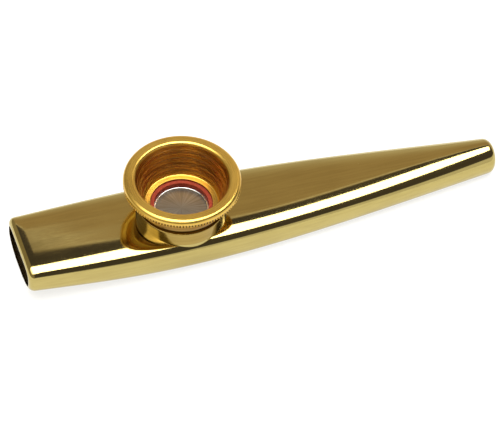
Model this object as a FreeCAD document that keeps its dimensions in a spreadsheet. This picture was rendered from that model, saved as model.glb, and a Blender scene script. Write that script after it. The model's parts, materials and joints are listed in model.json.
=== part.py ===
import FreeCAD, Part
import math
import os
import Sketcher

# A metal kazoo. The flattened, boat-shaped tube is stamped in two pieces: an upper shell whose lower edge is
# turned in as a hem, and a bottom plate that lies on that hem. A threaded collar is clinched through the flat
# seat on the crown. Inside it lie the membrane, its silver frame and a fibre washer, clamped by a screwed-in
# bell cap. The collar, what lies in it and the cap are turned about one upright axis, and their rises are
# measured from the seat.
#
# Frame: X runs along the tube from the wide mouth end (-X) to the round tail (+X), Z is up, and the origin is
# under the middle of the box, on the surface that the kazoo lies on. All lengths are millimetres.

Vector = FreeCAD.Vector
UP = Vector(0, 0, 1)
SECTION_POINTS = 48
END_STEPS = 6
MIDDLE_SECTIONS = 9
WINDOW_POINTS = 7
OVERRUN = 1

# The lines of the tube at five stations from mouth to tail: how far back the station is, the full width,
# the height of the crown, of the widest line and of the keel (which the flat sole then trims), and how square
# the section is above and below the widest line (the exponent of a superellipse: 2 is round, 4 nearly a box).
STATION_NAMES = ["mouth", "throat", "waist", "rear", "tail"]
STATION_SIZES = {
    "place": [0, 29.6, 59.6, 89.6, 118.9],
    "width": [19.7, 22.5, 20.9, 15.3, 8.0],
    "crown": [10.5, 9.8, 9.0, 8.45, 8.2],
    "side": [6.0, 4.5, 4.25, 4.5, 3.9],
    "keel": [1.9, 0.0, 0.0, 0.0, 0.0],
    "upper_square": [4.6, 3.9, 3.7, 2.7, 2.0],
    "lower_square": [2.4, 2.9, 3.3, 2.9, 2.1],
}

OTHER_SIZES = {
    # tube
    "wall": 0.4,
    "sole_trim": 0.35,
    "mouth_round": 1.4,
    "mouth_sole_share": 0.5,
    "mouth_lip": 0.1,
    "tail_round": 1.8,
    "tail_bore": 4.2,
    # hem and bottom plate
    "hem_reach": 6.6,
    "hem_lap": 1.5,
    "window_front": 7.0,
    "window_back": 94.0,
    "window_bow": 1.0,
    "window_height": 3.2,
    # seat of the turret
    "turret_place": 39.6,
    "seat_height": 9.15,
    "seat_margin": 0.25,
    "seat_depth": 3.0,
    "fit_gap": 0.02,
    # collar
    "thread_bore": 9.9,
    "collar_wall": 0.75,
    "collar_rise": 3.8,
    "collar_edge": 0.25,
    "ledge_rise": 1.0,
    "ledge_reach": 3.0,
    "spigot_wall": 1.5,
    "flare_reach": 1.0,
    "flare_wall": 0.4,
    # membrane, frame and washer
    "membrane_gap": 0.6,
    "membrane_wall": 0.1,
    "frame_gap": 0.4,
    "frame_reach": 3.5,
    "frame_wall": 0.3,
    "washer_gap": 0.6,
    "washer_reach": 2.9,
    "washer_wall": 1.15,
    "stack_gap": 0.05,
    # bell cap
    "thread_gap": 0.08,
    "cap_wall": 0.45,
    "foot_reach": 2.52,
    "funnel_slope": 1.17,
    "neck_gap": 1.15,
    "neck_rise": 2.65,
    "bell_mouth": 11.0,
    "rim_radius": 13.8,
    "rim_drop": 1.85,
    "rim_height": 11.7,
    "lip_round": 0.8,
    "edge_round": 1.0,
}

doc = FreeCAD.newDocument("Kazoo")
sheet = doc.addObject("Spreadsheet::Sheet", "Sizes")


def all_sizes():
    """The driving dimensions by name."""
    sizes = dict(OTHER_SIZES)
    for what, values in STATION_SIZES.items():
        for station, value in zip(STATION_NAMES, values):
            sizes[f"{station}_{what}"] = value
    return sizes


for row, (alias, number) in enumerate(all_sizes().items(), start=1):
    sheet.set(f"A{row}", alias)
    sheet.set(f"B{row}", str(number))
    sheet.setAlias(f"B{row}", alias)
doc.recompute()


class Size:
    """A length that knows its value now and the formula that binds a feature to the sheet."""

    def __init__(self, value, formula):
        self.value = value
        self.formula = formula

    def __add__(self, other):
        other = as_size(other)
        return Size(self.value + other.value, f"({self.formula} + {other.formula})")

    def __sub__(self, other):
        other = as_size(other)
        return Size(self.value - other.value, f"({self.formula} - {other.formula})")

    def __mul__(self, factor):
        return Size(self.value * factor, f"({self.formula} * {factor})")

    def __neg__(self):
        return self * -1


def as_size(thing):
    """A Size from a Size or a plain number."""
    return thing if isinstance(thing, Size) else Size(float(thing), f"{thing}")


def size(alias):
    """The sheet's cell of that name."""
    return Size(float(sheet.get(alias)), f"Sizes.{alias}")


def bind(feature, prop, length):
    """Ties a property of a feature to the sheet."""
    feature.setExpression(prop, as_size(length).formula)


# ---------------------------------------------------------------- the tube's form

body_length = size("tail_place") - size("mouth_place")
half_length = body_length * 0.5


def guide(what):
    """The smooth curve of one station size along the tube, as a function of the distance from the mouth."""
    curve = Part.BSplineCurve()
    places = [size(f"{station}_place").value for station in STATION_NAMES]
    values = [size(f"{station}_{what}").value for station in STATION_NAMES]
    curve.interpolate([Vector(place, value, 0) for place, value in zip(places, values)])

    def value_at(place):
        low, high = curve.FirstParameter, curve.LastParameter
        for _ in range(50):
            middle = (low + high) / 2
            if curve.value(middle).x < place:
                low = middle
            else:
                high = middle
        return curve.value(low).y

    return value_at


width_at = guide("width")
crown_at = guide("crown")
side_at = guide("side")
keel_at = guide("keel")
upper_square_at = guide("upper_square")
lower_square_at = guide("lower_square")


def section(place, inset, low_inset=None):
    """The tube's outline at a place along it, drawn inwards by an inset: two half superellipses.

    low_inset is the inset under the widest line, where it isn't the same.
    """
    low_inset = inset if low_inset is None else low_inset
    half_width = width_at(place) / 2 - inset
    side = side_at(place)
    rise = crown_at(place) - side - inset
    fall = side - keel_at(place) + size("sole_trim").value - low_inset
    points = []
    for step in range(SECTION_POINTS):
        turn = 2 * math.pi * (step + 0.5) / SECTION_POINTS
        across, upward = math.cos(turn), math.sin(turn)
        height = rise if upward > 0 else fall
        power = upper_square_at(place) if upward > 0 else lower_square_at(place)
        reach = (abs(across / half_width) ** power + abs(upward / height) ** power) ** (-1 / power)
        points.append(Vector(place - half_length.value, reach * across, side + reach * upward))
    outline = Part.BSplineCurve()
    outline.interpolate(points, PeriodicFlag=True)
    return Part.Wire(outline.toShape())


def loft(rows):
    """A solid through the sections at (place, inset, inset below) rows."""
    return Part.makeLoft([section(*row) for row in rows], True, False, False)


def rounded_end(end, direction, inset, radius, low_share):
    """Rows of a quarter-round end, from the flat face at the end back to the full section.

    low_share says how much of the round is left under the widest line.
    """
    rows = []
    for step in range(END_STEPS + 1):
        turn = math.pi / 2 * step / END_STEPS
        back = inset + radius * (1 - math.cos(turn))
        inwards = radius * (1 - math.sin(turn))
        rows.append((end + direction * back, inset + inwards, inset + inwards * low_share))
    return rows


def tube_form(inset):
    """The tube as one solid with rounded ends and a flat sole, drawn inwards by an inset."""
    mouth, tail = size("mouth_place").value, size("tail_place").value
    mouth_round, tail_round = size("mouth_round").value, size("tail_round").value
    front = mouth + mouth_round
    back = tail - tail_round
    step = (back - front) / (MIDDLE_SECTIONS - 1)
    middle = loft([(front + step * count, inset) for count in range(MIDDLE_SECTIONS)])
    mouth_end = loft(rounded_end(mouth, 1, inset, mouth_round - inset, size("mouth_sole_share").value))
    tail_end = loft(rounded_end(tail, -1, inset, tail_round - inset, 1))
    whole = middle.fuse([mouth_end, tail_end])
    length, width, depth = body_length.value, size("throat_width").value, size("waist_crown").value
    under = Part.makeBox(length * 2, width * 2, depth, Vector(-length, -width, inset - depth))
    return whole.cut(under)


def form_feature(name, inset):
    """A document object that holds the tube's form at an inset."""
    feature = doc.addObject("Part::Feature", name)
    feature.Shape = tube_form(inset.value)
    return feature


def window_prism(name, reach, front, back):
    """An upright prism over the tube's plan drawn inwards by a reach, between two places."""
    front, back, reach = front.value, back.value, reach.value
    places = [front + (back - front) * step / (WINDOW_POINTS - 1) for step in range(WINDOW_POINTS)]
    near = [Vector(place - half_length.value, reach - width_at(place) / 2, -OVERRUN) for place in places]
    far = [Vector(point.x, -point.y, point.z) for point in near]
    sides = []
    for points in (near, far):
        curve = Part.BSplineCurve()
        curve.interpolate(points)
        sides.append(curve.toShape())
    bow = Vector(size("window_bow").value, 0, 0)
    centres = [Vector(point.x, 0, point.z) for point in (near[0], near[-1])]
    front_end = Part.Arc(near[0], centres[0] - bow, far[0]).toShape()
    back_end = Part.Arc(near[-1], centres[1] + bow, far[-1]).toShape()
    outline = Part.Wire(Part.__sortEdges__([sides[0], back_end, sides[1], front_end]))
    feature = doc.addObject("Part::Feature", name)
    feature.Shape = Part.Face(outline).extrude(UP * (OVERRUN + size("window_height").value))
    return feature


def combine(kind, name, base, tool):
    """A Part::Cut of a tool from a base, or their Part::Common."""
    feature = doc.addObject(kind, name)
    feature.Refine = False
    feature.Base = base
    feature.Tool = tool
    return feature


def fuse(name, pieces):
    """A Part::MultiFuse of several objects."""
    feature = doc.addObject("Part::MultiFuse", name)
    feature.Refine = False
    feature.Shapes = pieces
    return feature


# ---------------------------------------------------------------- the turret's axis

collar_radius = size("thread_bore") + size("collar_wall")
spigot_radius = size("thread_bore") - size("spigot_wall")


def on_turret_axis(feature, rise):
    """Stands a feature upright on the turret's axis, at a rise above the seat."""
    bind(feature, "Placement.Base.x", size("turret_place") - half_length)
    bind(feature, "Placement.Base.z", size("seat_height") + rise)


def turret_cylinder(name, radius, low, high):
    """A cylinder on the turret's axis between two rises above the seat."""
    low, high = as_size(low), as_size(high)
    feature = doc.addObject("Part::Cylinder", name)
    bind(feature, "Radius", radius)
    bind(feature, "Height", high - low)
    on_turret_axis(feature, low)
    return feature


# ---------------------------------------------------------------- upper shell and bottom plate

wall = size("wall")
outer_form = form_feature("outer_form", as_size(0))
inner_form = form_feature("inner_form", wall)
plate_form = form_feature("plate_form", wall * 2)


def seated(name, form, inset):
    """The form with the round flat seat pressed into its crown, drawn inwards by an inset."""
    radius = collar_radius + size("seat_margin") - inset
    above = turret_cylinder(f"{name}_above", radius, -inset, size("seat_depth") - inset)
    pad = turret_cylinder(f"{name}_pad", radius, -size("seat_depth"), -inset)
    levelled = combine("Part::Cut", f"{name}_levelled", form, above)
    return fuse(f"{name}_seated", [levelled, pad])


def mouth_slot():
    """The blowing slot: the mouth's own outline, drawn inwards past the rounding, cut through the end."""
    slot = doc.addObject("Part::Feature", "mouth_slot")
    inset = size("mouth_round") + size("mouth_lip")
    low_inset = inset.value * size("mouth_sole_share").value
    outline = section(size("mouth_place").value, inset.value, low_inset)
    outline.translate(Vector(-OVERRUN, 0, 0))
    slot.Shape = Part.Face(outline).extrude(Vector(inset.value + OVERRUN, 0, 0))
    return slot


def tail_outlet():
    """The round outlet bored through the tail end."""
    bore = doc.addObject("Part::Cylinder", "tail_outlet")
    bind(bore, "Radius", size("tail_bore") * 0.5)
    bind(bore, "Height", size("tail_round") + OVERRUN)
    bind(bore, "Placement.Rotation.Axis.y", 1)
    bind(bore, "Placement.Rotation.Axis.z", 0)
    bind(bore, "Placement.Rotation.Angle", 90)
    bind(bore, "Placement.Base.x", half_length - size("tail_round"))
    bind(bore, "Placement.Base.z", size("tail_side"))
    return bore


def make_upper_shell():
    """The stamped upper half, hollow, open at mouth, tail, seat and underside window."""
    skin = seated("skin", outer_form, as_size(0))
    cavity = seated("cavity", inner_form, wall)
    hollow = combine("Part::Cut", "hollow_tube", skin, cavity)
    hole = turret_cylinder(
        "collar_hole", spigot_radius + size("fit_gap"), -size("seat_depth") * 0.5, size("seat_depth")
    )
    window = window_prism("hem_window", size("hem_reach"), size("window_front"), size("window_back"))
    openings = fuse("shell_openings", [mouth_slot(), tail_outlet(), hole, window])
    shell = combine("Part::Cut", "upper_shell_solid", hollow, openings)
    shell.Label = "upper_shell"
    return shell


def make_bottom_plate():
    """The bottom plate: the layer just inside the hem, lapped over it all round."""
    layer = combine("Part::Cut", "plate_layer", inner_form, plate_form)
    lap = size("hem_lap")
    blank = window_prism(
        "plate_blank", size("hem_reach") - lap, size("window_front") - lap, size("window_back") + lap
    )
    plate = combine("Part::Common", "bottom_plate_solid", layer, blank)
    plate.Label = "bottom_plate"
    return plate


# ---------------------------------------------------------------- turned pieces

# How Sketcher numbers the two ends of a side and a sketch's own axes.
SIDE_START, SIDE_END = 1, 2
LEVEL_AXIS, UPRIGHT_AXIS = -1, -2
WELD = 1e-6


def origin_plane(body, role):
    """One of the body's own origin planes or axes."""
    return next(feature for feature in body.Origin.OriginFeatures if feature.Role == role)


def side_of(start, end, arc):
    """The straight side or arc of a profile from one corner to the next."""
    if arc is None:
        return Part.LineSegment(start, end)
    half = (end - start) * 0.5
    bulge = max(arc.value ** 2 - half.Length ** 2, 0) ** 0.5
    outward = Vector(half.y, -half.x, 0).normalize()
    return Part.Arc(start, start + half + outward * (arc.value - bulge), end)


def name_constraint(sketch, constraint, name, length):
    """Adds a dimension to a sketch and ties it to the sheet."""
    sketch.renameConstraint(sketch.addConstraint(constraint), name)
    sketch.setExpression(f"Constraints.{name}", length.formula)


def turned_piece(label, outline):
    """A piece turned about the turret's axis.

    outline is a list of corners (radius, rise, arc): arc is the radius of the round that leads from this
    corner to the next, or None for a straight line.
    """
    body = doc.addObject("PartDesign::Body", f"{label}_body")
    body.Label = label
    sketch = body.newObject("Sketcher::SketchObject", f"{label}_profile")
    sketch.AttachmentSupport = [(origin_plane(body, "XZ_Plane"), "")]
    sketch.MapMode = "FlatFace"
    corners = [(as_size(radius), as_size(rise), arc) for radius, rise, arc in outline]
    points = [Vector(radius.value, rise.value, 0) for radius, rise, _ in corners]
    count = len(corners)
    starts = []
    for index, (_, _, arc) in enumerate(corners):
        sketch.addGeometry(side_of(points[index], points[(index + 1) % count], arc), False)
        reversed_arc = (sketch.Geometry[index].StartPoint - points[index]).Length > WELD
        starts.append(SIDE_END if reversed_arc else SIDE_START)
    for index, (radius, rise, arc) in enumerate(corners):
        start, following = starts[index], (index + 1) % count
        end = SIDE_START + SIDE_END - start
        sketch.addConstraint(Sketcher.Constraint("Coincident", index, end, following, starts[following]))
        if radius.value == 0:
            sketch.addConstraint(Sketcher.Constraint("PointOnObject", index, start, UPRIGHT_AXIS))
        else:
            distance = Sketcher.Constraint("DistanceX", LEVEL_AXIS, SIDE_START, index, start, radius.value)
            name_constraint(sketch, distance, f"radius_{index}", radius)
        if rise.value == 0:
            sketch.addConstraint(Sketcher.Constraint("PointOnObject", index, start, LEVEL_AXIS))
        else:
            distance = Sketcher.Constraint("DistanceY", LEVEL_AXIS, SIDE_START, index, start, rise.value)
            name_constraint(sketch, distance, f"rise_{index}", rise)
        if arc is not None:
            name_constraint(sketch, Sketcher.Constraint("Radius", index, arc.value), f"round_{index}", arc)
    turned = body.newObject("PartDesign::Revolution", f"{label}_turning")
    turned.Profile = sketch
    turned.ReferenceAxis = (sketch, ["V_Axis"])
    turned.Angle = 360
    on_turret_axis(body, 0)
    return body


def make_collar():
    """The threaded collar: a socket with an inner ledge, and a spigot flared under the seat."""
    under = -wall
    flare_low = under - size("flare_wall")
    flare_radius = spigot_radius + size("flare_reach")
    throat_bore = size("thread_bore") - size("ledge_reach")
    top = size("collar_rise")
    edge = size("collar_edge")
    return turned_piece("turret_collar", [
        (throat_bore, flare_low, None),
        (flare_radius, flare_low, None),
        (flare_radius, under, None),
        (spigot_radius, under, None),
        (spigot_radius, 0, None),
        (collar_radius, 0, None),
        (collar_radius, top - edge, edge),
        (collar_radius - edge, top, None),
        (size("thread_bore"), top, None),
        (size("thread_bore"), size("ledge_rise"), None),
        (throat_bore, size("ledge_rise"), None),
    ])


def flat_ring(label, bore, radius, low, high):
    """A flat ring on the turret's axis."""
    return turned_piece(label, [(bore, low, None), (radius, low, None), (radius, high, None), (bore, high, None)])


membrane_top = size("ledge_rise") + size("membrane_wall")
frame_top = membrane_top + size("frame_wall")
washer_low = frame_top + size("stack_gap")
washer_top = washer_low + size("washer_wall")
foot_low = washer_top + size("stack_gap")


def make_membrane():
    """The film disc that lies on the collar's ledge."""
    radius = size("thread_bore") - size("membrane_gap")
    return flat_ring("membrane", as_size(0), radius, size("ledge_rise"), membrane_top)


def make_frame():
    """The silver ring that holds the film down."""
    radius = size("thread_bore") - size("frame_gap")
    return flat_ring("membrane_frame", radius - size("frame_reach"), radius, membrane_top, frame_top)


def make_washer():
    """The red fibre washer between the frame and the cap."""
    radius = size("thread_bore") - size("washer_gap")
    return flat_ring("sealing_ring", radius - size("washer_reach"), radius, washer_low, washer_top)


def make_cap():
    """The bell cap: a pierced foot, a threaded stem, a neck, and a funnel with a rolled-over rim."""
    cap_wall = size("cap_wall")
    stem = size("thread_bore") - size("thread_gap")
    foot_bore = stem - size("foot_reach")
    neck_low = size("collar_rise") + size("neck_gap")
    crest = size("rim_height")
    rim = size("rim_radius")
    edge = size("edge_round")
    lip = size("lip_round")
    skirt_low = crest - size("rim_drop")
    under_rim = crest - cap_wall * 2
    return turned_piece("bell_cap", [
        (foot_bore, foot_low, None),
        (stem, foot_low, None),
        (stem, neck_low, None),
        (collar_radius, neck_low, None),
        (collar_radius, neck_low + size("neck_rise"), None),
        (rim - cap_wall * 3, under_rim, None),
        (rim - cap_wall, under_rim - cap_wall * 0.5, None),
        (rim - cap_wall, skirt_low, None),
        (rim, skirt_low, None),
        (rim, crest - edge, edge),
        (rim - edge, crest, None),
        (size("bell_mouth") + lip, crest, lip),
        (size("bell_mouth"), crest - lip, None),
        (stem - size("funnel_slope"), foot_low + cap_wall, None),
        (foot_bore, foot_low + cap_wall, None),
    ])


# ---------------------------------------------------------------- build, check and write

def check(features):
    """Stops with a message if any object of the document failed or any piece is not a sound solid."""
    for item in doc.Objects:
        if "Invalid" in item.State or "Error" in item.State:
            raise RuntimeError(f"{item.Label} failed: {item.State}")
    for feature in features:
        shape = feature.Shape
        if shape.isNull() or not shape.isValid() or not shape.Solids:
            raise RuntimeError(f"{feature.Label} is not a sound solid")


def main():
    """Builds every piece and writes one STEP file for each."""
    pieces = [
        make_upper_shell(),
        make_bottom_plate(),
        make_collar(),
        make_membrane(),
        make_frame(),
        make_washer(),
        make_cap(),
    ]
    doc.recompute()
    check(pieces)
    os.makedirs("parts", exist_ok=True)
    for piece in pieces:
        box = piece.Shape.BoundBox
        print(
            f"{piece.Label}: {len(piece.Shape.Solids)} solid, {piece.Shape.Volume:.2f} mm3, "
            f"x {box.XMin:.2f} {box.XMax:.2f}, y {box.YMin:.2f} {box.YMax:.2f}, z {box.ZMin:.2f} {box.ZMax:.2f}"
        )
        piece.Shape.exportStep(f"parts/{piece.Label}.step")


main()
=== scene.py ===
"""A metal kazoo: a stamped brass tube with a screwed-in gold bell cap over its membrane.

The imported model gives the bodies, the turret's axis and the places of the pieces. Every length is in metres.
"""

import functools
import json
import logging
import math
from collections.abc import Callable
from dataclasses import dataclass, field
from enum import Enum

import bpy
import numpy as np
from bpy.types import Material, MeshPolygon, Node, NodeSocket, NodeTree, Object
from mathutils import Matrix, Vector


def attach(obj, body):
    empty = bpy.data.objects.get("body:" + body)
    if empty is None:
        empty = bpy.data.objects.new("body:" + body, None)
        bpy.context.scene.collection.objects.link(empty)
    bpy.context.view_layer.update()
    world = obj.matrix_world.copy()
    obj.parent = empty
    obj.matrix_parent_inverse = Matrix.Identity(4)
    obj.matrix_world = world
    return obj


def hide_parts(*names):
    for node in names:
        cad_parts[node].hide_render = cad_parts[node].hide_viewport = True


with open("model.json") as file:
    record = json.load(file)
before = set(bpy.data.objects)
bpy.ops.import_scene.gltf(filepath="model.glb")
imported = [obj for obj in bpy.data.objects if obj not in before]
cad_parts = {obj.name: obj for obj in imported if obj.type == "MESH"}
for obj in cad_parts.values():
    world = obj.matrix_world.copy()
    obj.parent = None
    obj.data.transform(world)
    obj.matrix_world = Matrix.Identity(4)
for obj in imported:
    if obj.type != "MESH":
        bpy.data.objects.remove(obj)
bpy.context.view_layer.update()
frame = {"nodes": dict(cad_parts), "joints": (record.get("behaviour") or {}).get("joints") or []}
log = logging.getLogger("kazoo")

Pair = tuple[float, float]
Triple = tuple[float, float, float]
Series = tuple[float, ...]
Outline = list[Pair]

MM = 0.001
WELD = 0.002 * MM
ON_SURFACE = WELD * 10

ALONG_TUBE = (0.05, 1.0, 1.0)
CREASE_FAN = (0.006, 0.006, 0.0)
CLOUD_GAP = 14 * MM
SPECK_GAP = 2.2 * MM
COAT_ROUGHNESS = 0.22


class Body(Enum):
    """The bodies that the pieces ride on."""

    TUBE = "tube"
    WASHER = "washer"
    CAP = "cap"


class Slot(Enum):
    """The record's material slots."""

    TUBE = "tube_brass"
    PLATE = "plate_brass"
    COLLAR = "collar_brass"
    FILM = "film"
    FRAME = "bare_aluminium"
    FIBRE = "red_fibre"
    CAP = "cap_gold"


class Grain(Enum):
    """The direction in which a surface was worked."""

    LENGTHWISE = "lengthwise"
    TURNED = "turned"
    CREASED = "creased"
    FELTED = "felted"


class CapSkin(Enum):
    """The finishes of the bell cap, in the order of its materials. The second and third are darker golds:
    painted shade on the neck, the foot's hole and the knurl's grooves, and painted shade inside the funnel.
    """

    BRIGHT = 0
    WORN = 1
    FUNNEL = 2


# --- modelling by hand


def deselect() -> None:
    """Leaves nothing selected, so that an operator acts on the new piece alone."""
    if bpy.context.object is not None and bpy.context.object.mode != "OBJECT":
        bpy.ops.object.mode_set(mode="OBJECT")
    bpy.ops.object.select_all(action="DESELECT")


def name_piece(name: str) -> Object:
    """Names the object that an operator has just made.

    Args:
        name: The piece's name.

    Returns:
        The object.
    """
    piece = bpy.context.object
    piece.name = name
    piece.data.name = name
    return piece


def select_faces(piece: Object, wanted: Callable[[MeshPolygon], bool]) -> None:
    """Selects the faces that a test picks, and leaves the piece in edit mode with faces as the selection.

    Args:
        piece: The piece, which is the active object.
        wanted: The test.
    """
    bpy.ops.object.mode_set(mode="EDIT")
    bpy.ops.mesh.select_mode(type="FACE")
    bpy.ops.mesh.select_all(action="DESELECT")
    bpy.ops.object.mode_set(mode="OBJECT")
    for face in piece.data.polygons:
        face.select = wanted(face)
    bpy.ops.object.mode_set(mode="EDIT")


def close_seams() -> None:
    """Merges the doubles of the active piece and turns its faces outwards."""
    bpy.ops.object.mode_set(mode="EDIT")
    bpy.ops.mesh.select_all(action="SELECT")
    bpy.ops.mesh.remove_doubles(threshold=WELD)
    bpy.ops.mesh.normals_make_consistent(inside=False)
    bpy.ops.object.mode_set(mode="OBJECT")


def smooth(piece: Object, sharpest: float = 32.0) -> None:
    """Shades a piece smooth up to an angle.

    Args:
        piece: The piece.
        sharpest: The angle between faces, in degrees, above which an edge stays sharp.
    """
    deselect()
    piece.select_set(True)
    bpy.context.view_layer.objects.active = piece
    bpy.ops.object.shade_smooth_by_angle(angle=math.radians(sharpest))


def cut_out(piece: Object, cutter: Object) -> None:
    """Cuts the shape of one object out of a piece, and removes the cutter.

    Args:
        piece: The piece that changes.
        cutter: The object that cuts it.
    """
    deselect()
    piece.select_set(True)
    bpy.context.view_layer.objects.active = piece
    cutting = piece.modifiers.new("cut", "BOOLEAN")
    cutting.operation = "DIFFERENCE"
    cutting.solver = "EXACT"
    cutting.object = cutter
    bpy.ops.object.modifier_apply(modifier=cutting.name)
    bpy.data.objects.remove(cutter)


def hand_over(piece: Object, body: Body, node: str) -> None:
    """Puts a finished piece on its body in place of the plain node.

    Args:
        piece: The finished piece.
        body: The body that it moves with.
        node: The node that it stands for.
    """
    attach(piece, body.value)
    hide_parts(node)
    log.info("%s: %d faces on %s", piece.name, len(piece.data.polygons), body.value)


def rounded_outline(corners: list[Triple], steps: int = 6) -> Outline:
    """Rounds the corners of a closed outline.

    Args:
        corners: Each corner's radius, rise and round, in metres. A round of 0 leaves the corner sharp.
        steps: How many chords make a round.

    Returns:
        The outline's points as (radius, rise).
    """
    points = []
    count = len(corners)
    for index, (radius, rise, fillet) in enumerate(corners):
        here = Vector((radius, rise))
        if fillet == 0:
            points.append((radius, rise))
            continue
        back = (Vector(corners[index - 1][:2]) - here).normalized()
        ahead = (Vector(corners[(index + 1) % count][:2]) - here).normalized()
        opening = back.angle(ahead)
        reach = fillet / math.tan(opening / 2)
        centre = here + (back + ahead).normalized() * (fillet / math.sin(opening / 2))
        first, last = here + back * reach - centre, here + ahead * reach - centre
        sweep = first.angle_signed(last)
        for step in range(steps + 1):
            arm = first.copy()
            arm.rotate(Matrix.Rotation(-sweep * step / steps, 2))
            points.append(tuple(centre + arm))
    return points


def divided(points: Outline, longest: float) -> Outline:
    """Divides the long sides of a closed outline.

    Args:
        points: The outline.
        longest: The longest side that is left whole.

    Returns:
        The outline with more points on its long sides.
    """
    result = []
    for here, ahead in zip(points, points[1:] + points[:1]):
        parts = max(1, math.ceil(math.dist(here, ahead) / longest))
        for part in range(parts):
            share = part / parts
            result.append(tuple(a + (b - a) * share for a, b in zip(here, ahead)))
    return result


def groove_share(turn: float) -> float:
    """How deep a groove is, from 0 to 1, at a point of its wave in radians."""
    return 0.5 - 0.5 * math.cos(turn)


# --- finishes


class NodeBoard:
    """Lays out the nodes of one material or world."""

    def __init__(self, tree: NodeTree) -> None:
        """Starts with an empty tree."""
        self.tree = tree
        tree.nodes.clear()

    def add(self, kind: str, inputs: dict | None = None, **settings: object) -> Node:
        """Adds a node.

        Args:
            kind: The node's type.
            inputs: Values or output sockets by input name or number.
            settings: The node's own properties.

        Returns:
            The node.
        """
        node = self.tree.nodes.new(kind)
        for key, value in settings.items():
            setattr(node, key, value)
        for key, value in (inputs or {}).items():
            if isinstance(value, NodeSocket):
                self.tree.links.new(value, node.inputs[key])
            else:
                node.inputs[key].default_value = value
        return node

    def math(self, operation: str, *values: object, clamp: bool = False) -> NodeSocket:
        """One arithmetic step on numbers or sockets."""
        inputs = dict(enumerate(values))
        return self.add("ShaderNodeMath", inputs, operation=operation, use_clamp=clamp).outputs[0]

    def mix(self, share: object, first: object, second: object) -> NodeSocket:
        """Blends two colours.

        Args:
            share: How much of the second colour shows, as a number or a socket.
            first: The first colour, as three numbers or a socket.
            second: The second colour, as three numbers or a socket.

        Returns:
            The blend.
        """
        mixer = self.add("ShaderNodeMix", data_type="RGBA")
        for socket, value in ((mixer.inputs[0], share), (mixer.inputs[6], first), (mixer.inputs[7], second)):
            if isinstance(value, NodeSocket):
                self.tree.links.new(value, socket)
            else:
                socket.default_value = value if isinstance(value, float) else (*value, 1.0)
        return mixer.outputs[2]

    def spread(
        self, value: object, low: float, high: float, start: float = 0.0, end: float = 1.0
    ) -> NodeSocket:
        """Maps a number from the range low to high onto start to end, with soft ends."""
        inputs = {"Value": value, "From Min": low, "From Max": high, "To Min": start, "To Max": end}
        return self.add("ShaderNodeMapRange", inputs, interpolation_type="SMOOTHSTEP").outputs[0]

    def noise(self, vector: object, scale: float, detail: float = 3.0) -> NodeSocket:
        """The value of a noise pattern."""
        return self.add("ShaderNodeTexNoise", {"Vector": vector, "Scale": scale, "Detail": detail}).outputs[0]


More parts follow.
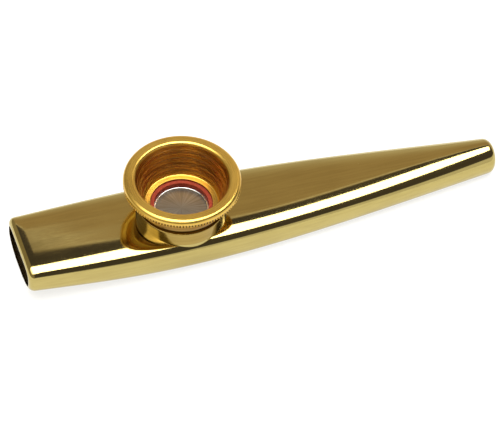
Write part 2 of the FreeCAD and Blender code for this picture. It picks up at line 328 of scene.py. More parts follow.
@dataclass(frozen=True)
class Finish:
    """A worked surface: its two tints, how rough it is, and the grain that the work left.

    Coarse and fine are the grain's spacings. Depth is how deep the grain is, as a bump. Centre and lean are
    the axis that turned grain runs round.
    """

    name: str
    tint: Triple
    deep_tint: Triple
    rough_low: float
    rough_high: float
    grain: Grain
    coarse: float
    fine: float
    depth: float
    metallic: float = 1.0
    centre: Triple = (0.0, 0.0, 0.0)
    lean: float = 0.0
    coat: float = 0.0
    specular: float = 0.5

    def pattern_space(self, board: NodeBoard) -> NodeSocket:
        """The coordinates that the grain is drawn in.

        Args:
            board: The material's nodes.

        Returns:
            Object coordinates, stretched along the grain.
        """
        place = board.add("ShaderNodeTexCoord").outputs["Object"]
        if self.grain is Grain.LENGTHWISE:
            return board.add("ShaderNodeMapping", {"Vector": place, "Scale": ALONG_TUBE}).outputs[0]
        if self.grain is Grain.FELTED:
            return place
        turned = board.add(
            "ShaderNodeMapping",
            {"Vector": place, "Location": self.centre, "Rotation": (0.0, self.lean, 0.0)},
            vector_type="TEXTURE",
        ).outputs[0]
        parts = board.add("ShaderNodeSeparateXYZ", {0: turned}).outputs
        if self.grain is Grain.CREASED:
            flat = board.add("ShaderNodeCombineXYZ", {0: parts[0], 1: parts[1]}).outputs[0]
            heading = board.add("ShaderNodeVectorMath", {0: flat}, operation="NORMALIZE").outputs[0]
            return board.add(
                "ShaderNodeVectorMath", {0: heading, 1: CREASE_FAN}, operation="MULTIPLY"
            ).outputs[0]
        across = board.math("MULTIPLY", parts[0], parts[0])
        along = board.math("MULTIPLY", parts[1], parts[1])
        radius = board.math("SQRT", board.math("ADD", across, along))
        return board.add("ShaderNodeCombineXYZ", {0: radius, 1: 0.0, 2: parts[2]}).outputs[0]

    def make(self) -> Material:
        """Builds the material.

        Returns:
            A node material with grain, uneven colour and uneven gloss.
        """
        material = bpy.data.materials.new(self.name)
        material.use_nodes = True
        board = NodeBoard(material.node_tree)
        space = self.pattern_space(board)
        place = board.add("ShaderNodeTexCoord").outputs["Object"]
        broad = board.noise(space, 1 / self.coarse, 4.0)
        tight = board.noise(space, 1 / self.fine, 2.0)
        cloud = board.noise(place, 1 / CLOUD_GAP, 3.0)
        worn = board.math("ADD", board.math("MULTIPLY", broad, 0.55), board.math("MULTIPLY", cloud, 0.45))
        colour = board.mix(board.spread(worn, 0.35, 0.65), self.deep_tint, self.tint)
        rough = board.spread(
            board.math("ADD", board.math("MULTIPLY", tight, 0.6), board.math("MULTIPLY", cloud, 0.4)),
            0.3, 0.7, self.rough_low, self.rough_high,
        )
        cells = board.add("ShaderNodeTexVoronoi", {"Vector": place, "Scale": 1 / SPECK_GAP})
        specks = board.spread(cells.outputs["Distance"], 0.02, 0.045, 1.0, 0.0)
        some = board.math("MULTIPLY", specks, board.spread(cloud, 0.5, 0.58))
        colour = board.mix(board.math("MULTIPLY", some, 0.6), colour, self.deep_tint)
        rough = board.math("ADD", rough, board.math("MULTIPLY", some, 0.25))
        relief = board.math("ADD", tight, board.math("MULTIPLY", broad, 0.15))
        bump = board.add(
            "ShaderNodeBump", {"Height": relief, "Distance": self.depth, "Strength": 1.0}
        ).outputs[0]
        surface = board.add(
            "ShaderNodeBsdfPrincipled",
            {
                "Base Color": colour, "Roughness": rough, "Normal": bump, "Metallic": self.metallic,
                "Coat Weight": self.coat, "Coat Roughness": COAT_ROUGHNESS,
                "Specular IOR Level": self.specular,
            },
        ).outputs[0]
        board.add("ShaderNodeOutputMaterial", {"Surface": surface})
        return material


# --- the turret's axis


@dataclass(frozen=True)
class TurretAxis:
    """The axis that the collar, the film and the cap are turned about."""

    seat: Vector
    up: Vector

    @property
    def out(self) -> Vector:
        """The direction in which a profile is drawn."""
        return Vector((self.up.z, 0.0, -self.up.x))

    @property
    def lean(self) -> float:
        """How far the axis leans towards the tail, in radians."""
        return math.atan2(self.up.x, self.up.z)

    def spin(self, name: str, outline: Outline, steps: int) -> Object:
        """Turns a closed outline into a solid.

        Args:
            name: The piece's name.
            outline: The points as (radius, rise above the seat).
            steps: How many facets go round.

        Returns:
            The piece, closed, with its faces outwards.
        """
        deselect()
        bpy.ops.mesh.primitive_circle_add(vertices=len(outline), radius=MM, fill_type="NOTHING")
        piece = name_piece(name)
        for vertex, (radius, rise) in zip(piece.data.vertices, outline):
            vertex.co = self.seat + self.out * radius + self.up * rise
        bpy.ops.object.mode_set(mode="EDIT")
        bpy.ops.mesh.select_all(action="SELECT")
        bpy.ops.mesh.spin(steps=steps, angle=2 * math.pi, center=self.seat, axis=self.up)
        close_seams()
        return piece

    def measure(self, point: Vector) -> Triple:
        """Measures where a point lies from the axis.

        Args:
            point: The point.

        Returns:
            Its distance from the axis, its angle round it and its rise above the seat.
        """
        arm = point - self.seat
        across, along = arm.dot(self.out), arm.dot(self.up.cross(self.out))
        return math.hypot(across, along), math.atan2(along, across), arm.dot(self.up)

    def reshape(self, piece: Object, change: Callable[[float, float, float], Pair]) -> None:
        """Moves the points of a turned piece outwards and upwards.

        Args:
            piece: The piece.
            change: Takes a point's radius, angle and rise, and gives its new radius and rise.
        """
        side = self.up.cross(self.out)
        for vertex in piece.data.vertices:
            radius, angle, rise = self.measure(vertex.co)
            radius, rise = change(radius, angle, rise)
            way = self.out * math.cos(angle) + side * math.sin(angle)
            vertex.co = self.seat + way * radius + self.up * rise


def turret_axis() -> TurretAxis:
    """The axis of the joint that unscrews the cap."""
    joint = next(joint for joint in frame["joints"] if joint["name"] == "cap_turn")
    return TurretAxis(Vector(joint["pos_m"]), Vector(joint["axis"]).normalized())


# --- tube


@dataclass(frozen=True)
class SkinRow:
    """One section of a skin: its place, how far in it is drawn above and below, and its skin's flat sole."""

    place: float
    inset: float
    low_inset: float
    floor: float


@dataclass(frozen=True)
class TubeLines:
    """The lines of the tube at five stations from mouth to tail.

    Squares say how boxy the section is above and below the widest line: 2 is round, 4 is nearly a box.
    """

    places: Series = (0.0, 0.0296, 0.0596, 0.0896, 0.1189)
    widths: Series = (0.0197, 0.0225, 0.0209, 0.0153, 0.0080)
    crowns: Series = (0.0105, 0.0098, 0.0090, 0.00845, 0.0082)
    sides: Series = (0.0060, 0.0045, 0.00425, 0.0045, 0.0039)
    keels: Series = (0.0019, 0.0, 0.0, 0.0, 0.0)
    upper_squares: Series = (4.6, 3.9, 3.7, 2.7, 2.0)
    lower_squares: Series = (2.4, 2.9, 3.3, 2.9, 2.1)
    sole_trim: float = 0.35 * MM
    hem_reach: float = 6.6 * MM
    narrowest_strip: float = 0.06
    bend_weight: float = 2.5 * MM
    sharpest_turn: float = 0.02
    side_points: int = 46
    fine_points: int = 720

    @functools.cache
    def bends(self, values: Series) -> np.ndarray:
        """How strongly one line bends at each station, with straight ends.

        Args:
            values: The line's values at the stations.

        Returns:
            The second derivatives at the stations.
        """
        gaps, slopes = np.diff(self.places), np.diff(values) / np.diff(self.places)
        system = np.diag(2 * (gaps[:-1] + gaps[1:])) + np.diag(gaps[1:-1], 1) + np.diag(gaps[1:-1], -1)
        return np.concatenate(([0.0], np.linalg.solve(system, 6 * np.diff(slopes)), [0.0]))

    def at(self, values: Series, place: float) -> float:
        """One line's value at a place, on a natural cubic spline through the stations.

        Args:
            values: The line's values at the stations.
            place: The distance from the mouth.

        Returns:
            The value.
        """
        bends = self.bends(values)
        span = int(np.clip(np.searchsorted(self.places, place) - 1, 0, len(self.places) - 2))
        gap = self.places[span + 1] - self.places[span]
        left, right = place - self.places[span], self.places[span + 1] - place
        return float(
            (bends[span] * right**3 + bends[span + 1] * left**3) / (6 * gap)
            + (values[span] / gap - bends[span] * gap / 6) * right
            + (values[span + 1] / gap - bends[span + 1] * gap / 6) * left
        )

    def half_outline(self, row: SkinRow) -> np.ndarray:
        """The section's near half from the middle of the sole to the crown, finely drawn.

        Args:
            row: Where the section lies and how far inside the outer skin.

        Returns:
            Rows of (across, height).
        """
        place = row.place
        half_width = self.at(self.widths, place) / 2 - row.inset
        side = self.at(self.sides, place)
        rise = self.at(self.crowns, place) - side - row.inset
        fall = side - self.at(self.keels, place) + self.sole_trim - row.low_inset
        turn = np.linspace(0.0, math.pi, self.fine_points)
        across, upward = np.sin(turn), -np.cos(turn)
        height = np.where(upward > 0, rise, fall)
        power = np.where(
            upward > 0, self.at(self.upper_squares, place), self.at(self.lower_squares, place)
        )
        reach = (np.abs(across / half_width) ** power + np.abs(upward / height) ** power) ** (-1 / power)
        return np.column_stack((reach * across, np.maximum(side + reach * upward, row.floor)))

    def ring(self, row: SkinRow) -> Outline:
        """The section's points, closer together where it bends.

        Args:
            row: Where the section lies and how far inside the outer skin.

        Returns:
            The points as (across, height). The first five lie along the strip that the window takes out.
        """
        outline = self.half_outline(row)
        half_width = self.at(self.widths, row.place) / 2
        strip = max(half_width - self.hem_reach, self.narrowest_strip * half_width)
        beyond = outline[outline[:, 0] > strip]
        start = np.array([[strip, outline[0, 1]]])
        curve = np.vstack((start, beyond, [[0.0, outline[-1, 1]]]))
        step = np.diff(curve, axis=0)
        heading = np.unwrap(np.arctan2(step[:, 1], step[:, 0]))
        turning = np.minimum(np.abs(np.gradient(heading)), self.sharpest_turn)
        weight = np.hypot(step[:, 0], step[:, 1]) + self.bend_weight * turning
        travelled = np.concatenate(([0.0], np.cumsum(weight)))
        stops = np.linspace(0.0, travelled[-1], self.side_points + 1)
        across = np.interp(stops, travelled, curve[:, 0])
        height = np.interp(stops, travelled, curve[:, 1])
        low = float(height[0])
        strip_points = [(-strip, low), (-strip / 2, low), (0.0, low), (strip / 2, low)]
        up = list(zip(across.tolist(), height.tolist()))
        down = [(-y, z) for y, z in reversed(up[1:-1])]
        return strip_points + up + down


@dataclass
class Tube:
    """The stamped tube: the upper shell with its hem, and the plate that closes it underneath."""

    axis: TurretAxis
    brass: Material
    tarnished: Material
    plate_brass: Material
    lines: TubeLines = field(default_factory=TubeLines)
    wall: float = 0.4 * MM
    mouth_round: float = 1.4 * MM
    mouth_lip: float = 0.1 * MM
    mouth_sole_share: float = 0.5
    tail_round: float = 1.8 * MM
    tail_bore: float = 2.1 * MM
    window_front: float = 7.0 * MM
    window_back: float = 94.0 * MM
    station_gap: float = 1.5 * MM
    round_steps: int = 9
    spigot_hole: float = 8.42 * MM
    pad_radius: float = 10.4 * MM
    pad_depth: float = 2.4 * MM
    pad_edge: float = 0.12 * MM
    hole_facets: int = 96
    pad_facets: int = 192
    window_share: float = 0.999

    @property
    def length(self) -> float:
        """The tube's length."""
        return self.lines.places[-1]

    def stations(self) -> list[float]:
        """Places the sections between the two rounded ends.

        Returns:
            The places, from mouth to tail.
        """
        marks = (self.mouth_round, self.window_front, self.window_back, self.length - self.tail_round)
        places = []
        for start, end in zip(marks, marks[1:]):
            parts = math.ceil((end - start) / self.station_gap)
            places += [start + (end - start) * part / parts for part in range(parts)]
        return places + [marks[-1]]

    def skin_rows(self, inset: float) -> list[SkinRow]:
        """The sections of one skin, from the mouth's slot to the tail.

        Args:
            inset: How far inside the outer skin it lies.

        Returns:
            The sections.
        """
        turns = [math.pi / 2 * step / self.round_steps for step in range(self.round_steps)]
        mouth, tail = self.mouth_round - inset, self.tail_round - inset
        slot = self.mouth_round + self.mouth_lip
        low_slot = slot * self.mouth_sole_share
        rows = [SkinRow(inset, slot, low_slot, inset)]
        for turn in turns:
            inwards = mouth * (1 - math.sin(turn))
            low_inset = min(inset + inwards * self.mouth_sole_share, low_slot)
            rows.append(SkinRow(inset + mouth * (1 - math.cos(turn)), inset + inwards, low_inset, inset))
        rows += [SkinRow(place, inset, inset, inset) for place in self.stations()]
        for turn in reversed(turns):
            inwards = inset + tail * (1 - math.sin(turn))
            rows.append(SkinRow(self.length - inset - tail * (1 - math.cos(turn)), inwards, inwards, inset))
        return rows

    def bore_ring(self, ring: Outline) -> Outline:
        """Draws the tail's round bore.

        Args:
            ring: The section round the bore.

        Returns:
            The bore's points, one for each point of the section.
        """
        middle = self.lines.sides[-1]
        turns = [math.atan2(height - middle, across) for across, height in ring]
        return [(self.tail_bore * math.cos(turn), middle + self.tail_bore * math.sin(turn)) for turn in turns]

    def skin(self, inset: float) -> list[list[Vector]]:
        """Draws one skin, ring by ring, with the tail's bore last.

        Args:
            inset: How far inside the outer skin it lies.

        Returns:
            The rings of points.
        """
        rows = self.skin_rows(inset)
        sections = [self.lines.ring(row) for row in rows]
        sections.append(self.bore_ring(sections[-1]))
        places = [row.place for row in rows] + [rows[-1].place]
        return [
            [Vector((place - self.length / 2, y, z)) for y, z in section]
            for place, section in zip(places, sections)
        ]

    def wrap_blank(self) -> Object:
        """Wraps a flat grid round the tube's outer skin, in at the tail and back along the inner skin.

        Returns:
            The closed hollow shell, bright outside and dull inside, with no window yet.
        """
        rings = self.skin(0.0) + list(reversed(self.skin(self.wall)))
        rows, columns = len(rings), len(rings[0])
        deselect()
        bpy.ops.mesh.primitive_grid_add(x_subdivisions=rows, y_subdivisions=columns, size=1.0)
        shell = name_piece("kazoo_shell")
        shell.data.materials.append(self.brass)
        shell.data.materials.append(self.tarnished)
        for face in shell.data.polygons:
            face.material_index = int(rows / 2 < (face.center.x + 0.5) * rows < rows - 1)
        for vertex in shell.data.vertices:
            row = round((vertex.co.x + 0.5) * rows) % rows
            column = round((vertex.co.y + 0.5) * columns) % columns
            vertex.co = rings[row][column]
        close_seams()
        return shell

    def open_window(self, shell: Object) -> None:
        """Cuts the window out of the sole and turns its edges in as the hem.

        Args:
            shell: The closed shell.
        """
        front, back = self.window_front - self.length / 2, self.window_back - self.length / 2
        sole_top = self.wall * 1.5

        def in_window(face: MeshPolygon) -> bool:
            """Tests a face of either skin.

            Args:
                face: The face.

            Returns:
                Whether it lies in the window.
            """
            if not front < face.center.x < back or face.center.z > sole_top:
                return False
            half_width = self.lines.at(self.lines.widths, face.center.x + self.length / 2) / 2
            return abs(face.center.y) < (half_width - self.lines.hem_reach) * self.window_share

        select_faces(shell, in_window)
        bpy.ops.mesh.delete(type="FACE")
        bpy.ops.mesh.select_mode(type="EDGE")
        bpy.ops.mesh.select_all(action="DESELECT")
        bpy.ops.mesh.select_non_manifold(extend=False)
        bpy.ops.mesh.bridge_edge_loops()
        bpy.ops.object.mode_set(mode="OBJECT")
        close_seams()

    def seat_turret(self, shell: Object) -> None:
        """Cuts the hole for the collar's spigot and stands the flat pad for the collar round it.

        Args:
            shell: The shell, with its window open.
        """
        low, high = -self.pad_depth * 1.5, self.pad_depth
        corners = [(0.0, low), (self.spigot_hole, low), (self.spigot_hole, high), (0.0, high)]
        hole = self.axis.spin("hole", corners, self.hole_facets)
        cut_out(shell, hole)
        pad = self.axis.spin(
            "pad",
            rounded_outline([
                (self.pad_radius - self.wall, -self.pad_depth, 0.0),
                (self.pad_radius, -self.pad_depth, 0.0),
                (self.pad_radius, 0.0, self.pad_edge),
                (self.spigot_hole, 0.0, 0.0),
                (self.spigot_hole, -self.wall, 0.0),
                (self.pad_radius - self.wall, -self.wall, 0.0),
            ]),
            self.pad_facets,
        )
        pad.data.materials.append(self.brass)
        shell.select_set(True)
        bpy.context.view_layer.objects.active = shell
        bpy.ops.object.join()

    def build_shell(self) -> None:
        """Makes the upper shell."""
        shell = self.wrap_blank()
        self.open_window(shell)
        self.seat_turret(shell)
        smooth(shell)
        hand_over(shell, Body.TUBE, "upper_shell")

    def dress_plate(self) -> None:
        """Gives the bottom plate its finish."""
        plate = frame["nodes"]["bottom_plate"]
        plate.data.materials.clear()
        plate.data.materials.append(self.plate_brass)
        log.info("bottom_plate: dressed")

    def build(self) -> None:
        """Makes the tube."""
        self.build_shell()
        self.dress_plate()


# --- turret


@dataclass
class Turret:
    """The threaded collar, and the film with its silver frame and red washer inside it."""

    axis: TurretAxis
    brass: Material
    film: Material
    silver: Material
    fibre: Material
    facets: int = 256
    wall: float = 0.4 * MM
    collar_radius: float = 10.65 * MM
    collar_rise: float = 3.8 * MM
    thread_bore: float = 9.9 * MM
    thread_depth: float = 0.18 * MM
    thread_ends: Pair = (0.4 * MM, 0.3 * MM)
    thread_pitch: float = 1.0 * MM
    ledge_rise: float = 1.0 * MM
    throat_bore: float = 6.9 * MM
    spigot_radius: float = 8.4 * MM
    flare_radius: float = 9.4 * MM
    flare_wall: float = 0.4 * MM
    edge: float = 0.25 * MM
    film_radius: float = 9.3 * MM
    film_wall: float = 0.03 * MM
    film_rise: float = 1.04 * MM
    film_bulge: float = 0.15 * MM
    film_step: float = 0.35 * MM
    crease_depth: float = 0.018 * MM
    creases: tuple[tuple[int, float, float], ...] = ((9, 0.7, 1.0), (17, 2.1, 0.8), (31, 0.0, 0.6))
    frame_radius: float = 9.5 * MM
    frame_bore: float = 6.0 * MM
    frame_wall: float = 0.3 * MM
    frame_lift: float = 0.1 * MM
    frame_edge: float = 0.14 * MM
    washer_radius: float = 9.3 * MM
    washer_bore: float = 6.4 * MM
    washer_wall: float = 1.15 * MM
    washer_edge: float = 0.12 * MM
    stack_gap: float = 0.05 * MM

    def build_collar(self) -> None:
        """Turns the collar, with its inner thread, its ledge and its flared spigot."""
        outline = rounded_outline([
            (self.throat_bore, -self.wall - self.flare_wall, 0.0),
            (self.flare_radius, -self.wall - self.flare_wall, 0.1 * MM),
            (self.flare_radius, -self.wall, 0.1 * MM),
            (self.spigot_radius, -self.wall, 0.0),
            (self.spigot_radius, 0.0, 0.0),
            (self.collar_radius, 0.0, 0.15 * MM),
            (self.collar_radius, self.collar_rise, self.edge),
            (self.thread_bore, self.collar_rise, 0.1 * MM),
            (self.thread_bore, self.ledge_rise, 0.0),
            (self.throat_bore, self.ledge_rise, 0.1 * MM),
        ])
        collar = self.axis.spin("kazoo_collar", divided(outline, self.thread_pitch / 8), self.facets)
        low, high = self.ledge_rise + self.thread_ends[0], self.collar_rise - self.thread_ends[1]

        def threaded(radius: float, angle: float, rise: float) -> Pair:
            """Cuts the thread into the bore.

            Args:
                radius: The point's distance from the axis.
                angle: Its angle round the axis.
                rise: Its rise above the seat.

            Returns:
                Its new radius and rise.
            """
            if abs(radius - self.thread_bore) > ON_SURFACE or not low < rise < high:
                return radius, rise
            groove = groove_share(2 * math.pi * rise / self.thread_pitch - angle)
            return radius + self.thread_depth * groove, rise

        self.axis.reshape(collar, threaded)
        collar.data.materials.append(self.brass)
        smooth(collar)
        hand_over(collar, Body.TUBE, "turret_collar")

    def build_film(self) -> None:
        """Turns the film disc and draws its creases towards its rim."""
        low, high = self.film_rise, self.film_rise + self.film_wall
        outline = [(0.0, low), (self.film_radius, low), (self.film_radius, high), (0.0, high)]
        film = self.axis.spin("kazoo_membrane", divided(outline, self.film_step), self.facets)

        def creased(radius: float, angle: float, rise: float) -> Pair:
            """Bulges the film inside its frame and raises the creases, which fade out at the middle.

            Args:
                radius: The point's distance from the axis.
                angle: Its angle round the axis.
                rise: Its rise above the seat.

            Returns:
                Its new radius and rise.
            """
            wave = sum(height * math.sin(count * angle + start) for count, start, height in self.creases)
            share = min(1.0, radius / self.frame_bore)
            bulge = self.film_bulge * (1 - share**2)
            return radius, rise + bulge + self.crease_depth * 0.4 * wave * share**1.5

        self.axis.reshape(film, creased)
        film.data.materials.append(self.film)
        smooth(film, 60.0)
        hand_over(film, Body.TUBE, "membrane")

    def flat_ring(
        self, name: str, bore: float, radius: float, low: float, wall: float, edge: float
    ) -> Object:
        """Turns a flat ring with eased edges.

        Args:
            name: The ring's name.
            bore: Its inner radius.
            radius: Its outer radius.
            low: The rise of its underside.
            wall: Its thickness.
            edge: The round of its edges.

        Returns:
            The ring.
        """
        high = low + wall
        corners = [(bore, low, edge), (radius, low, edge), (radius, high, edge), (bore, high, edge)]
        ring = self.axis.spin(name, rounded_outline(corners), self.facets)
        smooth(ring, 60.0)
        return ring

    def build_rings(self) -> None:
        """Turns the silver frame that holds the film and the red washer over it."""
        frame_low = self.ledge_rise + self.frame_lift
        holder = self.flat_ring(
            "kazoo_membrane_frame",
            self.frame_bore, self.frame_radius, frame_low, self.frame_wall, self.frame_edge,
        )
        holder.data.materials.append(self.silver)
        hand_over(holder, Body.TUBE, "membrane_frame")
        washer_low = frame_low + self.frame_wall + self.stack_gap
        washer = self.flat_ring(
            "kazoo_washer",
            self.washer_bore, self.washer_radius, washer_low, self.washer_wall, self.washer_edge,
        )
        washer.data.materials.append(self.fibre)
        hand_over(washer, Body.WASHER, "sealing_ring")

    def build(self) -> None:
        """Makes the turret."""
        self.build_collar()
        self.build_film()
        self.build_rings()


# --- bell cap


@dataclass
class BellCap:
    """The screw cap: a pierced foot, a threaded stem, a neck, and a funnel with a knurled rim."""

    axis: TurretAxis
    gold: Material
    # Darker gold: painted shade on the neck, the foot's hole and the knurl's grooves.
    shaded_gold: Material
    # Darker, browner gold: painted shade inside the funnel.
    funnel_shading_gold: Material
    teeth: int = 120
    facets_per_tooth: int = 4
    tooth_depth: float = 0.26 * MM
    knurl_rise: float = 0.62 * MM
    wall: float = 0.45 * MM
    foot_low: float = 2.65 * MM
    foot_bore: float = 7.3 * MM
    funnel_slope: float = 1.17 * MM
    stem_radius: float = 9.82 * MM
    thread_pitch: float = 1.0 * MM
    thread_depth: float = 0.2 * MM
    thread_ends: Pair = (0.3 * MM, 0.2 * MM)
    neck_radius: float = 10.65 * MM
    neck_low: float = 4.95 * MM
    neck_top: float = 7.6 * MM
    bell_mouth: float = 11.0 * MM
    rim_radius: float = 13.8 * MM
    rim_drop: float = 1.85 * MM
    crest: float = 11.7 * MM
    lip_round: float = 0.8 * MM
    edge_round: float = 1.0 * MM
    ring_gap: float = 1.7 * MM
    ring_depth: float = 0.045 * MM
    skin_depth: float = 0.2 * MM
    longest_side: float = 0.16 * MM

    @property
    def skirt_low(self) -> float:
        """The rise of the rim's lower edge."""
        return self.crest - self.rim_drop

    @property
    def floor(self) -> float:
        """The rise of the ledge at the foot of the funnel."""
        return self.foot_low + self.wall

    @property
    def funnel_foot(self) -> float:
        """The funnel's radius at the ledge."""
        return self.stem_radius - self.funnel_slope

    def outline(self) -> Outline:
        """Draws the cap's section.

        Returns:
            The points as (radius, rise above the seat).
        """
        under = self.crest - self.wall * 2
        inner = self.rim_radius - self.wall
        corners = [
            (self.foot_bore, self.foot_low, 0.08 * MM),
            (self.stem_radius, self.foot_low, 0.1 * MM),
            (self.stem_radius, self.neck_low, 0.0),
            (self.neck_radius, self.neck_low, 0.14 * MM),
            (self.neck_radius, self.neck_top, 0.8 * MM),
            (self.rim_radius - self.wall * 3, under, 0.3 * MM),
            (inner, under - self.wall / 2, 0.2 * MM),
            (inner, self.skirt_low, 0.08 * MM),
            (self.rim_radius, self.skirt_low, 0.1 * MM),
            (self.rim_radius, self.crest, self.edge_round),
            (self.bell_mouth, self.crest, self.lip_round),
            (self.funnel_foot, self.floor, 0.25 * MM),
            (self.foot_bore, self.floor, 0.1 * MM),
        ]
        return divided(rounded_outline(corners, 8), self.longest_side)

    def finish_of(self, radius: float, angle: float, rise: float) -> CapSkin:
        """Finds which finish a spot on the cap has.

        Args:
            radius: The spot's distance from the axis.
            angle: Its angle round the axis.
            rise: Its rise above the seat.

        Returns:
            Bright for the rim and the ledge; a darker gold, painted shade, for the neck, the foot's hole and
            the knurl's grooves; and a darker gold, painted shade, for the inside of the funnel.
        """
        lip = self.crest - self.lip_round
        if radius > self.rim_radius - self.wall:
            # The knurl's grooves take the darker gold: painted shade in the recesses.
            groove = math.cos(self.teeth * angle) < 0.0 and rise < self.skirt_low + self.knurl_rise
            return CapSkin.WORN if groove else CapSkin.BRIGHT
        # The foot's hole takes the darker gold: painted shade.
        if radius < self.foot_bore + self.wall / 4:
            return CapSkin.WORN
        opening = self.bell_mouth - self.funnel_foot
        funnel = self.funnel_foot + opening * (rise - self.floor) / (lip - self.floor)
        # Inside the funnel the gold is darker: painted shade.
        if radius < funnel + self.skin_depth:
            return CapSkin.FUNNEL if self.floor + self.wall < rise < lip else CapSkin.BRIGHT
        # The neck takes the darker gold: painted shade under the rim.
        on_neck = radius < self.neck_radius + self.wall and rise < self.neck_top
        return CapSkin.WORN if on_neck else CapSkin.BRIGHT

    def build(self) -> None:
        """Turns the cap, cuts its thread and its knurl, and leaves the tool's rings in the funnel."""
        cap = self.axis.spin("kazoo_bell_cap", self.outline(), self.teeth * self.facets_per_tooth)
        thread_low = self.foot_low + self.thread_ends[0]
        thread_high = self.neck_low - self.thread_ends[1]
        knurl_top = self.skirt_low + self.knurl_rise

        def worked(radius: float, angle: float, rise: float) -> Pair:
            """Cuts the thread, the knurl and the funnel's rings.

            Args:
                radius: The point's distance from the axis.
                angle: Its angle round the axis.
                rise: Its rise above the seat.

            Returns:
                Its new radius and rise.
            """
            if abs(radius - self.stem_radius) < ON_SURFACE and thread_low < rise < thread_high:
                groove = groove_share(2 * math.pi * rise / self.thread_pitch - angle)
                return radius - self.thread_depth * groove, rise
            if radius > self.rim_radius - ON_SURFACE and rise < knurl_top:
                tooth = groove_share(self.teeth * angle)
                return radius - self.tooth_depth * tooth, rise
            inside = self.foot_low + self.wall * 2 < rise < self.crest - self.lip_round
            if inside and radius < self.bell_mouth + WELD:
                turn = 2 * math.pi * rise / self.ring_gap
                ring = math.sin(turn) + 0.5 * math.sin(2.7 * turn + 1.0)
                return radius + self.ring_depth * ring, rise
            return radius, rise

        self.axis.reshape(cap, worked)
        for finish in (self.gold, self.shaded_gold, self.funnel_shading_gold):
            cap.data.materials.append(finish)
        for face in cap.data.polygons:
            face.material_index = self.finish_of(*self.axis.measure(face.center)).value
        smooth(cap, 40.0)
        hand_over(cap, Body.CAP, "bell_cap")


# --- studio


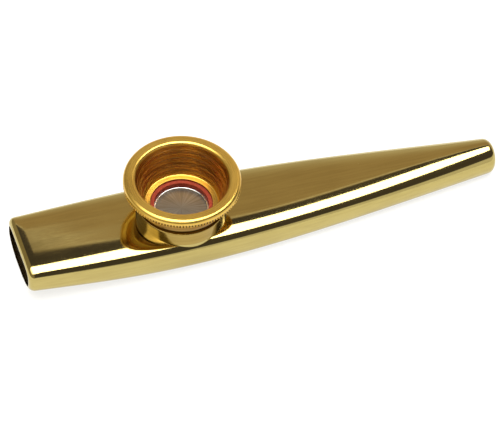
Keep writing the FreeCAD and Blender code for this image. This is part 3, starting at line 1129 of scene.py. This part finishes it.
@dataclass
class Studio:
    """A pale table under a long soft box, with a warm sweep behind and a light card in front.

    The light is laid out by its tilt from straight overhead towards the front, in degrees, and by how far it
    points towards the tail, from -1 to 1. Each edge of the light shifts with that second number.
    """

    floor_size: float = 3.0
    floor_tint: Series = (0.25, 0.25, 0.247, 1.0)
    floor_glow_tint: Series = (1.0, 1.0, 0.99, 1.0)
    floor_glow: float = 0.78
    box_light: Triple = (8.0, 7.9, 7.7)
    box_end_light: Triple = (2.0, 1.95, 1.85)
    box_back: Pair = (-17.0, -3.0)
    box_front: Pair = (35.9, -61.0)
    box_ends: Pair = (-0.75, 0.62)
    sweep_edge: Pair = (-60.0, 108.0)
    sweep_held: float = 0.278
    card_edge: Pair = (91.5, -62.0)
    sweep_dim: Triple = (0.57, 0.43, 0.29)
    sweep_bright: Triple = (0.80, 0.71, 0.60)
    sweep_line: Triple = (1.05, 0.97, 0.90)
    card_light: Triple = (0.95, 0.93, 0.90)
    dark: Triple = (0.097, 0.085, 0.090)
    mouth_end: float = -0.05
    mouth_soft: float = 0.12
    end_soft: float = 0.02
    box_soft: float = 1.2
    sweep_soft: float = 1.6
    card_soft: float = 6.0
    sweep_fade: Pair = (12.0, 50.0)
    line_start: Pair = (0.1, 0.9)
    line_end: Pair = (1.0, 3.0)
    held_from: float = 0.1
    side_dark: Triple = (0.40, 0.34, 0.25)

    def edge(self, board: NodeBoard, tail_way: object, line: Pair, held_to: float = 0.48) -> NodeSocket:
        """The tilt of one edge of the light, for directions that point that far towards the tail."""
        held = board.math("MINIMUM", board.math("MAXIMUM", tail_way, self.held_from), held_to)
        return board.math("ADD", board.math("MULTIPLY", held, line[1]), line[0])

    def past(self, board: NodeBoard, tilt: object, edge: object, soft: float) -> NodeSocket:
        """How far a tilt is past an edge, from 0 to 1 over the edge's softness."""
        return board.spread(board.math("SUBTRACT", tilt, edge), -soft / 2, soft / 2)

    def build_world(self) -> None:
        """Lays out the light round the table."""
        world = bpy.data.worlds.new("studio")
        world.use_nodes = True
        bpy.context.scene.world = world
        board = NodeBoard(world.node_tree)
        heading = board.add("ShaderNodeTexCoord").outputs["Generated"]
        parts = board.add("ShaderNodeSeparateXYZ", {0: heading}).outputs
        forwards = board.math("MULTIPLY", parts[1], -1.0)
        tilt = board.math("DEGREES", board.math("ARCTAN2", forwards, parts[2]))
        tail_way = parts[0]
        sweep_edge = self.edge(board, tail_way, self.sweep_edge, self.sweep_held)
        in_sweep = board.math("SUBTRACT", 1.0, self.past(board, tilt, sweep_edge, self.sweep_soft))
        depth = board.math("SUBTRACT", sweep_edge, tilt)
        sweep = board.mix(board.spread(depth, *self.sweep_fade), self.sweep_dim, self.sweep_bright)
        line_past = board.spread(depth, *self.line_end, 1.0, 0.0)
        line = board.math("MULTIPLY", board.spread(depth, *self.line_start), line_past)
        sweep = board.mix(line, sweep, self.sweep_line)
        light = board.mix(in_sweep, self.dark, sweep)
        in_card = self.past(board, tilt, self.edge(board, tail_way, self.card_edge), self.card_soft)
        light = board.mix(in_card, light, self.card_light)
        mouth_way = board.spread(tail_way, self.mouth_end - self.mouth_soft, self.mouth_end, 1.0, 0.0)
        light = board.mix(mouth_way, light, self.side_dark)
        over_back = self.past(board, tilt, self.edge(board, tail_way, self.box_back), self.box_soft)
        over_front = self.past(board, tilt, self.edge(board, tail_way, self.box_front), self.box_soft)
        in_box = board.math("MULTIPLY", over_back, board.math("SUBTRACT", 1.0, over_front))
        mouth_stop, tail_stop = self.box_ends
        lengthwise = board.math(
            "MULTIPLY",
            board.spread(tail_way, mouth_stop - self.end_soft, mouth_stop + self.end_soft),
            board.spread(tail_way, tail_stop - self.end_soft, tail_stop + self.end_soft, 1.0, 0.0),
        )
        fading = board.spread(tail_way, self.box_ends[0], self.mouth_end)
        box_light = board.mix(fading, self.box_end_light, self.box_light)
        light = board.mix(board.math("MULTIPLY", in_box, lengthwise), light, box_light)
        background = board.add("ShaderNodeBackground", {"Color": light}).outputs[0]
        board.add("ShaderNodeOutputWorld", {"Surface": background})

    def build_floor(self) -> None:
        """Lays the pale table top."""
        deselect()
        bpy.ops.mesh.primitive_plane_add(size=self.floor_size)
        floor = name_piece("table_top")
        material = bpy.data.materials.new("pale_table")
        material.use_nodes = True
        board = NodeBoard(material.node_tree)
        surface = board.add(
            "ShaderNodeBsdfPrincipled",
            {
                "Base Color": self.floor_tint,
                "Roughness": 0.9,
                "Specular IOR Level": 0.0,
                "Emission Color": self.floor_glow_tint,
                "Emission Strength": self.floor_glow,
            },
        ).outputs[0]
        board.add("ShaderNodeOutputMaterial", {"Surface": surface})
        floor.data.materials.append(material)

    def build(self) -> None:
        """Sets up the table and the light."""
        self.build_world()
        self.build_floor()
        bpy.context.scene.view_settings.view_transform = "Standard"


@dataclass
class Viewpoint:
    """The camera: it looks down over the tube from the mouth's side, rolled a little."""

    aim: Triple = (0.00015, 0.0, 0.008)
    turn: float = 21.42
    elevation: float = 48.54
    roll: float = 3.525
    distance: float = 0.6457
    lens: float = 196.1
    shift: Pair = (-0.0233, -0.0425)

    def build(self) -> None:
        """Places the camera."""
        turn, lift, roll = (math.radians(angle) for angle in (self.turn, self.elevation, self.roll))
        back = Vector((-math.sin(turn) * math.cos(lift), -math.cos(turn) * math.cos(lift), math.sin(lift)))
        level = Vector((math.cos(turn), -math.sin(turn), 0.0))
        upright = back.cross(level)
        right = level * math.cos(roll) + upright * math.sin(roll)
        up = upright * math.cos(roll) - level * math.sin(roll)
        data = bpy.data.cameras.new("viewpoint")
        data.lens = self.lens
        data.shift_x, data.shift_y = self.shift
        camera = bpy.data.objects.new("viewpoint", data)
        bpy.context.scene.collection.objects.link(camera)
        camera.matrix_world = Matrix.Translation(Vector(self.aim) + back * self.distance) @ Matrix(
            (right, up, back)
        ).transposed().to_4x4()
        bpy.context.scene.camera = camera


def finishes(axis: TurretAxis) -> dict[str, Material]:
    """Makes every finish of the kazoo.

    Args:
        axis: The turret's axis, which the turned grain runs round.

    Returns:
        The materials by name.
    """
    centre, lean = tuple(axis.seat), axis.lean
    made = [
        Finish(
            "polished_brass", (0.485, 0.395, 0.142), (0.43, 0.345, 0.122), 0.05, 0.11,
            Grain.LENGTHWISE, 0.6 * MM, 0.09 * MM, 0.0004 * MM,
        ),
        Finish(
            "tarnished_brass", (0.20, 0.14, 0.06), (0.10, 0.07, 0.035), 0.45, 0.7,
            Grain.LENGTHWISE, 2.0 * MM, 0.3 * MM, 0.004 * MM,
        ),
        Finish(
            "plate_brass", (0.60, 0.46, 0.19), (0.50, 0.37, 0.14), 0.16, 0.3,
            Grain.LENGTHWISE, 1.6 * MM, 0.2 * MM, 0.002 * MM,
        ),
        # The collar's own brass tone, darkened further as painted shade under the cap.
        Finish(
            "collar_brass", (0.385, 0.27, 0.075), (0.32, 0.215, 0.055), 0.12, 0.22,
            Grain.TURNED, 0.8 * MM, 0.12 * MM, 0.001 * MM, centre=centre, lean=lean,
        ),
        Finish(
            "satin_gold", (0.72, 0.475, 0.095), (0.64, 0.41, 0.075), 0.24, 0.34,
            Grain.TURNED, 0.9 * MM, 0.1 * MM, 0.001 * MM, centre=centre, lean=lean, coat=0.2,
        ),
        # Darker gold for the neck, the foot's hole and the knurl's grooves: painted shade.
        Finish(
            "shaded_gold", (0.33, 0.195, 0.052), (0.24, 0.135, 0.034), 0.28, 0.42,
            Grain.TURNED, 0.9 * MM, 0.1 * MM, 0.002 * MM, centre=centre, lean=lean,
        ),
        # Darker, browner gold inside the funnel: painted shade.
        Finish(
            "funnel_shading_gold", (0.55, 0.315, 0.085), (0.40, 0.215, 0.05), 0.22, 0.32,
            Grain.TURNED, 1.4 * MM, 0.3 * MM, 0.0008 * MM, centre=centre, lean=lean, coat=0.1,
        ),
        Finish(
            "grey_film", (0.20, 0.18, 0.145), (0.105, 0.09, 0.068), 0.34, 0.48,
            Grain.CREASED, 0.5 * MM, 0.12 * MM, 0.003 * MM, metallic=0.85, centre=centre, lean=lean,
        ),
        Finish(
            "satin_silver", (0.90, 0.90, 0.88), (0.78, 0.78, 0.77), 0.14, 0.26,
            Grain.TURNED, 0.5 * MM, 0.1 * MM, 0.001 * MM, centre=centre, lean=lean,
        ),
        Finish(
            "red_fibre", (0.27, 0.045, 0.020), (0.19, 0.026, 0.012), 0.6, 0.85,
            Grain.FELTED, 0.5 * MM, 0.09 * MM, 0.012 * MM, metallic=0.0, specular=0.12,
        ),
    ]
    return {finish.name: finish.make() for finish in made}


def main() -> None:
    """Builds the kazoo piece by piece, then the studio."""
    logging.basicConfig(level=logging.INFO, format="%(name)s %(message)s")
    axis = turret_axis()
    made = finishes(axis)
    Tube(axis, made["polished_brass"], made["tarnished_brass"], made["plate_brass"]).build()
    Turret(axis, made["collar_brass"], made["grey_film"], made["satin_silver"], made["red_fibre"]).build()
    BellCap(axis, made["satin_gold"], made["shaded_gold"], made["funnel_shading_gold"]).build()
    Studio().build()
    Viewpoint().build()


if __name__ == "__main__":
    main()
